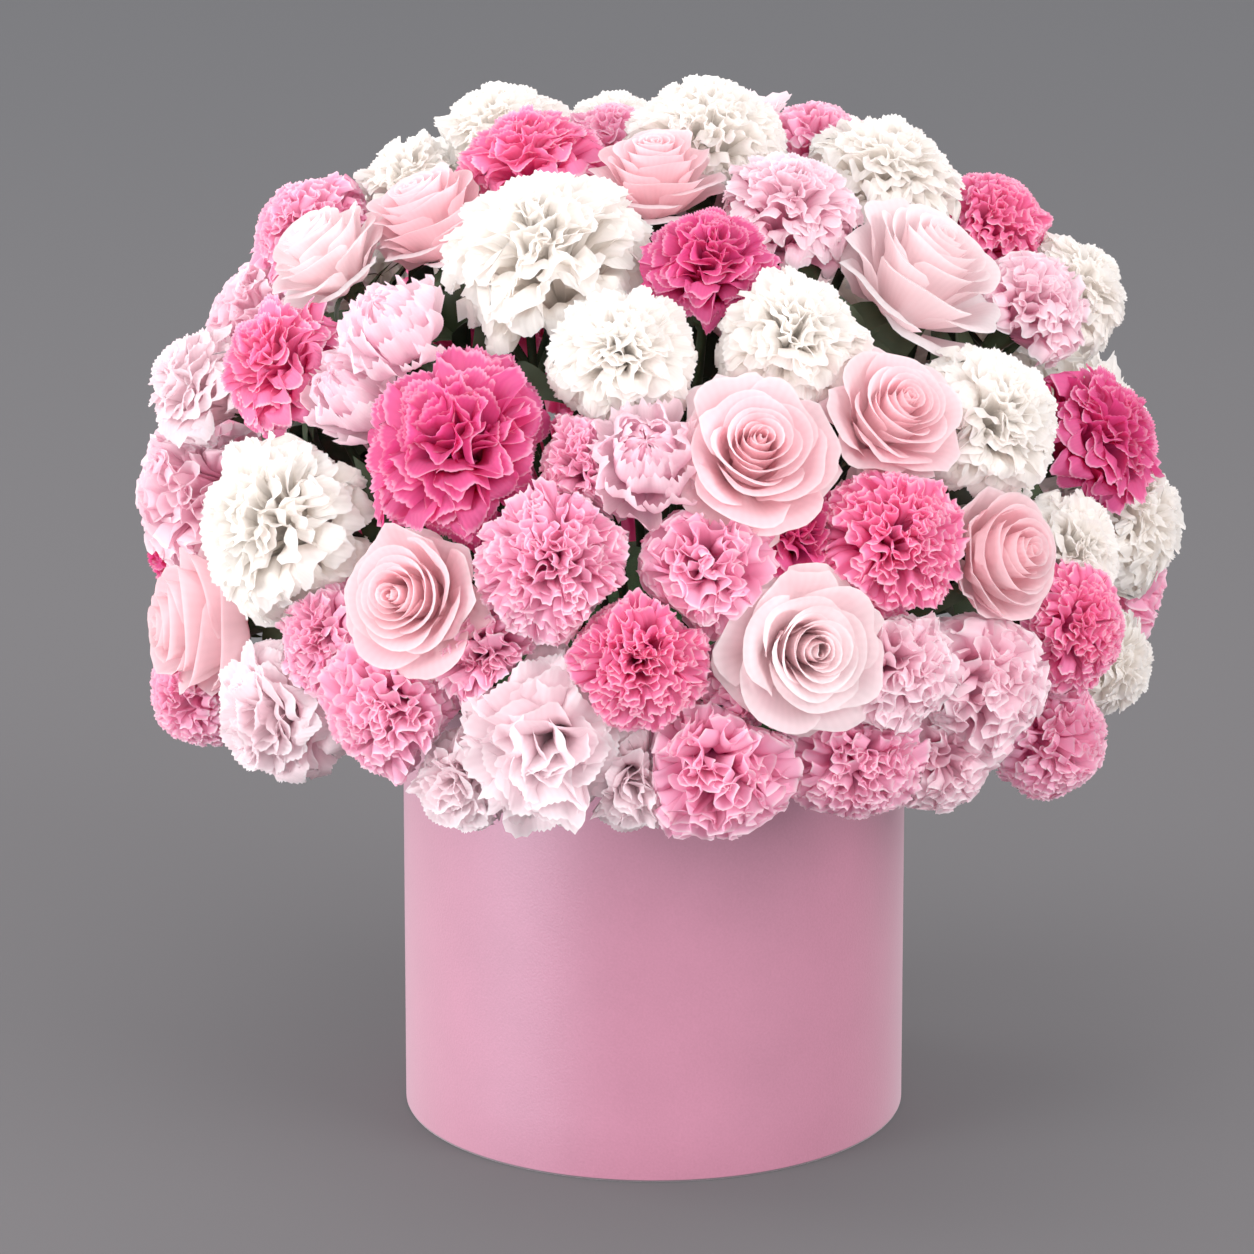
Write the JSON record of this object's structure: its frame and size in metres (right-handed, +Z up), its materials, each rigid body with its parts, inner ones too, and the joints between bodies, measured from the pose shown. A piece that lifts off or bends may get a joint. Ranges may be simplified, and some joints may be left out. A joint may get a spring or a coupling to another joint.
{
  "type": "flower hat box",
  "caption": "Round pink hat box with no lid, filled to a high, wide dome with pink and white carnations, roses and peonies.",
  "frame": {"origin": "centre of the box's flat underside, on the box's own axis", "axes": "+Z up along the axis of the round box, -Y towards the viewer of the picture, +X to the right"},
  "size_m": [0.4534, 0.4501, 0.4573],
  "materials": {
    "box_cover": "matt pink paper over board",
    "base_board": "matt pink paper over board",
    "liner": "thin milky plastic cup",
    "foam": "open-celled green flower foam, soaked",
    "petals_white": "ivory white petals",
    "petals_pale": "very pale pink petals",
    "petals_light": "light pink petals",
    "petals_mid": "mid-pink petals with paler rims",
    "petals_hot": "hot pink petals with paler rims",
    "petals_deep": "deep pink petals",
    "petals_blush": "blush rose petals",
    "petals_salmon": "blush rose petals with a salmon heart"
  },
  "bodies": {
    "root": {"box_base": "base_board", "box_wall": "box_cover", "carnation_deep_02": "petals_deep", "carnation_deep_12": "petals_deep", "carnation_deep_19": "petals_deep", "carnation_deep_24": "petals_deep", "carnation_deep_26": "petals_deep", "carnation_deep_46": "petals_deep", "carnation_deep_spray_of_3_51": "petals_deep", "carnation_hot_16": "petals_hot", "carnation_hot_36": "petals_hot", "carnation_hot_39": "petals_hot", "carnation_hot_spray_of_2_33": "petals_hot", "carnation_hot_spray_of_5_52": "petals_hot", "carnation_light_17": "petals_light", "carnation_light_spray_of_3_38": "petals_light", "carnation_light_spray_of_3_49": "petals_light", "carnation_mid_03": "petals_mid", "carnation_mid_05": "petals_mid", "carnation_mid_07": "petals_mid", "carnation_mid_13": "petals_mid", "carnation_mid_32": "petals_mid", "carnation_mid_40": "petals_mid", "carnation_mid_41": "petals_mid", "carnation_mid_47": "petals_mid", "carnation_mid_spray_of_2_31": "petals_mid", "carnation_mid_spray_of_2_42": "petals_mid", "carnation_mid_spray_of_2_50": "petals_mid", "carnation_mid_spray_of_3_44": "petals_mid", "carnation_pale_27": "petals_pale", "carnation_pale_45": "petals_pale", "carnation_pale_spray_of_3_43": "petals_pale", "carnation_pale_spray_of_3_54": "petals_pale", "carnation_white_04": "petals_white", "carnation_white_06": "petals_white", "carnation_white_15": "petals_white", "carnation_white_18": "petals_white", "carnation_white_20": "petals_white", "carnation_white_28": "petals_white", "carnation_white_spray_of_2_01": "petals_white", "carnation_white_spray_of_2_11": "petals_white", "carnation_white_spray_of_3_35": "petals_white", "carnation_white_spray_of_5_48": "petals_white", "carnation_white_spray_of_5_53": "petals_white", "foam": "foam", "liner": "liner", "peony_light_23": "petals_light", "peony_light_spray_of_2_25": "petals_light", "rose_blush_08": "petals_blush", "rose_blush_14": "petals_blush", "rose_blush_37": "petals_blush", "rose_blush_spray_of_3_56": "petals_blush", "rose_salmon_09": "petals_salmon", "rose_salmon_10": "petals_salmon", "rose_salmon_21": "petals_salmon", "rose_salmon_22": "petals_salmon", "rose_salmon_29": "petals_salmon", "rose_salmon_30": "petals_salmon", "rose_salmon_34": "petals_salmon", "rose_salmon_55": "petals_salmon"}
  },
  "joints": []
}
